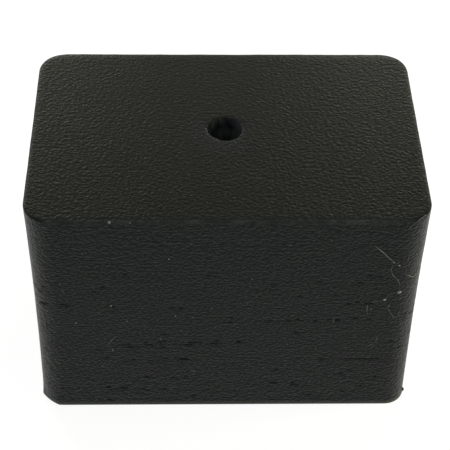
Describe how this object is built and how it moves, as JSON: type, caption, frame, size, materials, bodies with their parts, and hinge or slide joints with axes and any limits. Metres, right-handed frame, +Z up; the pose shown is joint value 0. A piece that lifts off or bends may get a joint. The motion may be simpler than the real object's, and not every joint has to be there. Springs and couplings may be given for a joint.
{
  "type": "rubber foot",
  "caption": "Rectangular solid rubber foot with rounded upright corners, a grained top and an upright bolt hole through the middle.",
  "frame": {"origin": "middle of the underside, on the surface that the foot stands on", "axes": "+Z up through the foot, +X along its long side, +Y to the back"},
  "size_m": [0.0602, 0.04, 0.042],
  "materials": {
    "rubber": "solid black rubber: a warm black, finely grained skin on the top and the underside, and cooler black cut walls with fine level streaks"
  },
  "bodies": {
    "root": {"foot_block": "rubber"}
  },
  "joints": []
}
